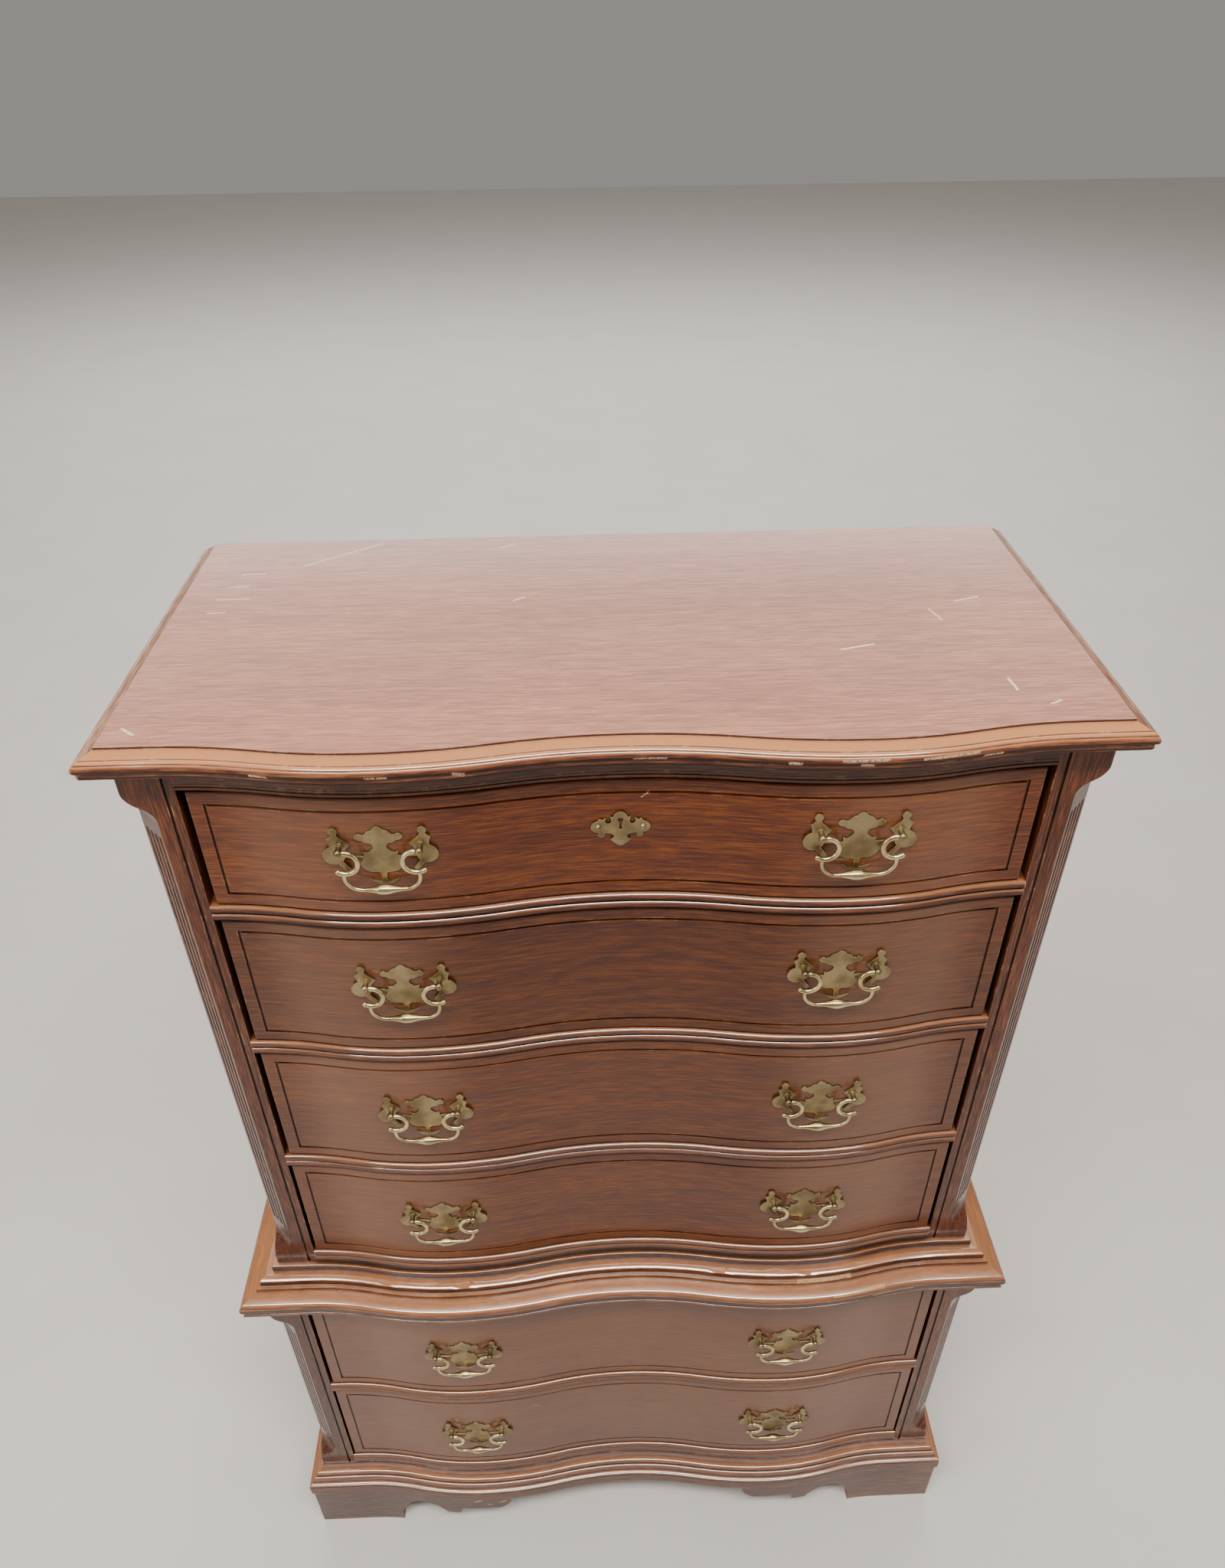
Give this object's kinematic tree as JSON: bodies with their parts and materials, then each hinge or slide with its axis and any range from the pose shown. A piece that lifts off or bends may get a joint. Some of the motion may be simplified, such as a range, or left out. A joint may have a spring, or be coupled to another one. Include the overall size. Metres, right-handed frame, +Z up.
{
  "type": "chest on chest",
  "caption": "Serpentine-front chest on chest with canted fluted corner posts, moulded top, waist and base, bracket feet, sliding drawers and pierced brass bail pulls.",
  "frame": {"origin": "centre of the bounding box at floor level", "axes": "+X to the right seen from the front, +Y to the back, +Z up"},
  "size_m": [1.0206, 0.4976, 1.54],
  "materials": {
    "mahogany": "satin varnish",
    "top_mahogany": "worn satin varnish",
    "drawer_mahogany": "satin varnish",
    "secondary_wood": "bare",
    "back_panel": "bare",
    "plate_brass": "antiqued",
    "bail_brass": "rubbed"
  },
  "bodies": {
    "case": {"top_panel": "top_mahogany", "top_moulding_front": "mahogany", "top_moulding_returns": "mahogany", "upper_side_left": "mahogany", "upper_side_right": "mahogany", "upper_post_left": "mahogany", "upper_post_right": "mahogany", "upper_back": "back_panel", "upper_top_rail": "mahogany", "upper_blade_1": "mahogany", "upper_blade_2": "mahogany", "upper_blade_3": "mahogany", "upper_bottom_rail": "mahogany", "drawer_runners": "secondary_wood", "waist_moulding_front": "mahogany", "waist_moulding_returns": "mahogany", "lower_deck": "mahogany", "lower_side_left": "mahogany", "lower_side_right": "mahogany", "lower_post_left": "mahogany", "lower_post_right": "mahogany", "lower_back": "back_panel", "lower_blade": "mahogany", "lower_bottom_rail": "mahogany", "lower_bottom": "secondary_wood", "base_moulding_front": "mahogany", "base_moulding_returns": "mahogany", "front_foot_left": "mahogany", "front_foot_right": "mahogany", "back_feet": "mahogany"},
    "drawer_1": {"drawer_1_front": "drawer_mahogany", "drawer_1_box": "secondary_wood", "drawer_1_brass": "plate_brass"},
    "drawer_1_bail_left": {"drawer_1_bail_left": "bail_brass"},
    "drawer_1_bail_right": {"drawer_1_bail_right": "bail_brass"},
    "drawer_2": {"drawer_2_front": "drawer_mahogany", "drawer_2_box": "secondary_wood", "drawer_2_brass": "plate_brass"},
    "drawer_2_bail_left": {"drawer_2_bail_left": "bail_brass"},
    "drawer_2_bail_right": {"drawer_2_bail_right": "bail_brass"},
    "drawer_3": {"drawer_3_front": "drawer_mahogany", "drawer_3_box": "secondary_wood", "drawer_3_brass": "plate_brass"},
    "drawer_3_bail_left": {"drawer_3_bail_left": "bail_brass"},
    "drawer_3_bail_right": {"drawer_3_bail_right": "bail_brass"},
    "drawer_4": {"drawer_4_front": "drawer_mahogany", "drawer_4_box": "secondary_wood", "drawer_4_brass": "plate_brass"},
    "drawer_4_bail_left": {"drawer_4_bail_left": "bail_brass"},
    "drawer_4_bail_right": {"drawer_4_bail_right": "bail_brass"},
    "drawer_5": {"drawer_5_front": "drawer_mahogany", "drawer_5_box": "secondary_wood", "drawer_5_brass": "plate_brass"},
    "drawer_5_bail_left": {"drawer_5_bail_left": "bail_brass"},
    "drawer_5_bail_right": {"drawer_5_bail_right": "bail_brass"},
    "drawer_6": {"drawer_6_front": "drawer_mahogany", "drawer_6_box": "secondary_wood", "drawer_6_brass": "plate_brass"},
    "drawer_6_bail_left": {"drawer_6_bail_left": "bail_brass"},
    "drawer_6_bail_right": {"drawer_6_bail_right": "bail_brass"}
  },
  "joints": [
    {"name": "drawer_1_slide", "type": "slide", "parent": "case", "child": "drawer_1", "axis": [0, -1, 0], "range_m": [0, 0.3]},
    {"name": "drawer_1_bail_left_swing", "type": "hinge", "parent": "drawer_1", "child": "drawer_1_bail_left", "pos_m": [-0.228, -0.20955, 1.4285], "axis": [-1, 0, 0], "range_deg": [-3, 100]},
    {"name": "drawer_1_bail_right_swing", "type": "hinge", "parent": "drawer_1", "child": "drawer_1_bail_right", "pos_m": [0.228, -0.20955, 1.4285], "axis": [-1, 0, 0], "range_deg": [-3, 100]},
    {"name": "drawer_2_slide", "type": "slide", "parent": "case", "child": "drawer_2", "axis": [0, -1, 0], "range_m": [0, 0.3]},
    {"name": "drawer_2_bail_left_swing", "type": "hinge", "parent": "drawer_2", "child": "drawer_2_bail_left", "pos_m": [-0.228, -0.20955, 1.2474], "axis": [-1, 0, 0], "range_deg": [-3, 100]},
    {"name": "drawer_2_bail_right_swing", "type": "hinge", "parent": "drawer_2", "child": "drawer_2_bail_right", "pos_m": [0.228, -0.20955, 1.2474], "axis": [-1, 0, 0], "range_deg": [-3, 100]},
    {"name": "drawer_3_slide", "type": "slide", "parent": "case", "child": "drawer_3", "axis": [0, -1, 0], "range_m": [0, 0.3]},
    {"name": "drawer_3_bail_left_swing", "type": "hinge", "parent": "drawer_3", "child": "drawer_3_bail_left", "pos_m": [-0.228, -0.20955, 1.0387], "axis": [-1, 0, 0], "range_deg": [-3, 100]},
    {"name": "drawer_3_bail_right_swing", "type": "hinge", "parent": "drawer_3", "child": "drawer_3_bail_right", "pos_m": [0.228, -0.20955, 1.0387], "axis": [-1, 0, 0], "range_deg": [-3, 100]},
    {"name": "drawer_4_slide", "type": "slide", "parent": "case", "child": "drawer_4", "axis": [0, -1, 0], "range_m": [0, 0.3]},
    {"name": "drawer_4_bail_left_swing", "type": "hinge", "parent": "drawer_4", "child": "drawer_4_bail_left", "pos_m": [-0.228, -0.20955, 0.82885], "axis": [-1, 0, 0], "range_deg": [-3, 100]},
    {"name": "drawer_4_bail_right_swing", "type": "hinge", "parent": "drawer_4", "child": "drawer_4_bail_right", "pos_m": [0.228, -0.20955, 0.82885], "axis": [-1, 0, 0], "range_deg": [-3, 100]},
    {"name": "drawer_5_slide", "type": "slide", "parent": "case", "child": "drawer_5", "axis": [0, -1, 0], "range_m": [0, 0.32]},
    {"name": "drawer_5_bail_left_swing", "type": "hinge", "parent": "drawer_5", "child": "drawer_5_bail_left", "pos_m": [-0.228, -0.23295, 0.5334], "axis": [-1, 0, 0], "range_deg": [-3, 100]},
    {"name": "drawer_5_bail_right_swing", "type": "hinge", "parent": "drawer_5", "child": "drawer_5_bail_right", "pos_m": [0.228, -0.23295, 0.5334], "axis": [-1, 0, 0], "range_deg": [-3, 100]},
    {"name": "drawer_6_slide", "type": "slide", "parent": "case", "child": "drawer_6", "axis": [0, -1, 0], "range_m": [0, 0.32]},
    {"name": "drawer_6_bail_left_swing", "type": "hinge", "parent": "drawer_6", "child": "drawer_6_bail_left", "pos_m": [-0.228, -0.23295, 0.29705], "axis": [-1, 0, 0], "range_deg": [-3, 100]},
    {"name": "drawer_6_bail_right_swing", "type": "hinge", "parent": "drawer_6", "child": "drawer_6_bail_right", "pos_m": [0.228, -0.23295, 0.29705], "axis": [-1, 0, 0], "range_deg": [-3, 100]}
  ]
}
